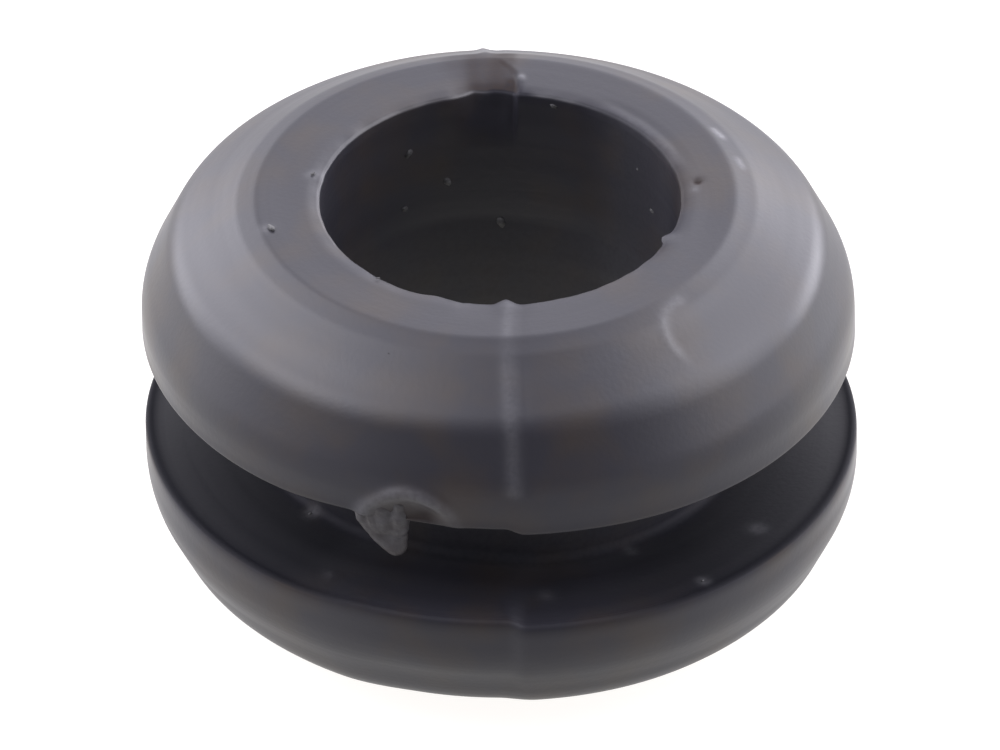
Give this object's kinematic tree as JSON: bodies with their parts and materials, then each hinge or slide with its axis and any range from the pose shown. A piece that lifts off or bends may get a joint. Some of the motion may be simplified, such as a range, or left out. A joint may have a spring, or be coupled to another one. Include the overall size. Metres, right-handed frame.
{
  "type": "rubber grommet",
  "caption": "Round black rubber grommet: two flanges either side of a groove that snaps into a panel hole, with a plain bore that guards a cable.",
  "frame": {"origin": "on the bore's axis, in the flat end face of the lower flange", "axes": "+Z along the bore, out through the upper flange; -Y is the front, with the gate scar and one seam line"},
  "size_m": [0.0094, 0.0096, 0.0058],
  "materials": {
    "black_rubber": "semi-gloss moulded black rubber, slightly dusty"
  },
  "bodies": {
    "root": {"grommet": "black_rubber"}
  },
  "joints": []
}
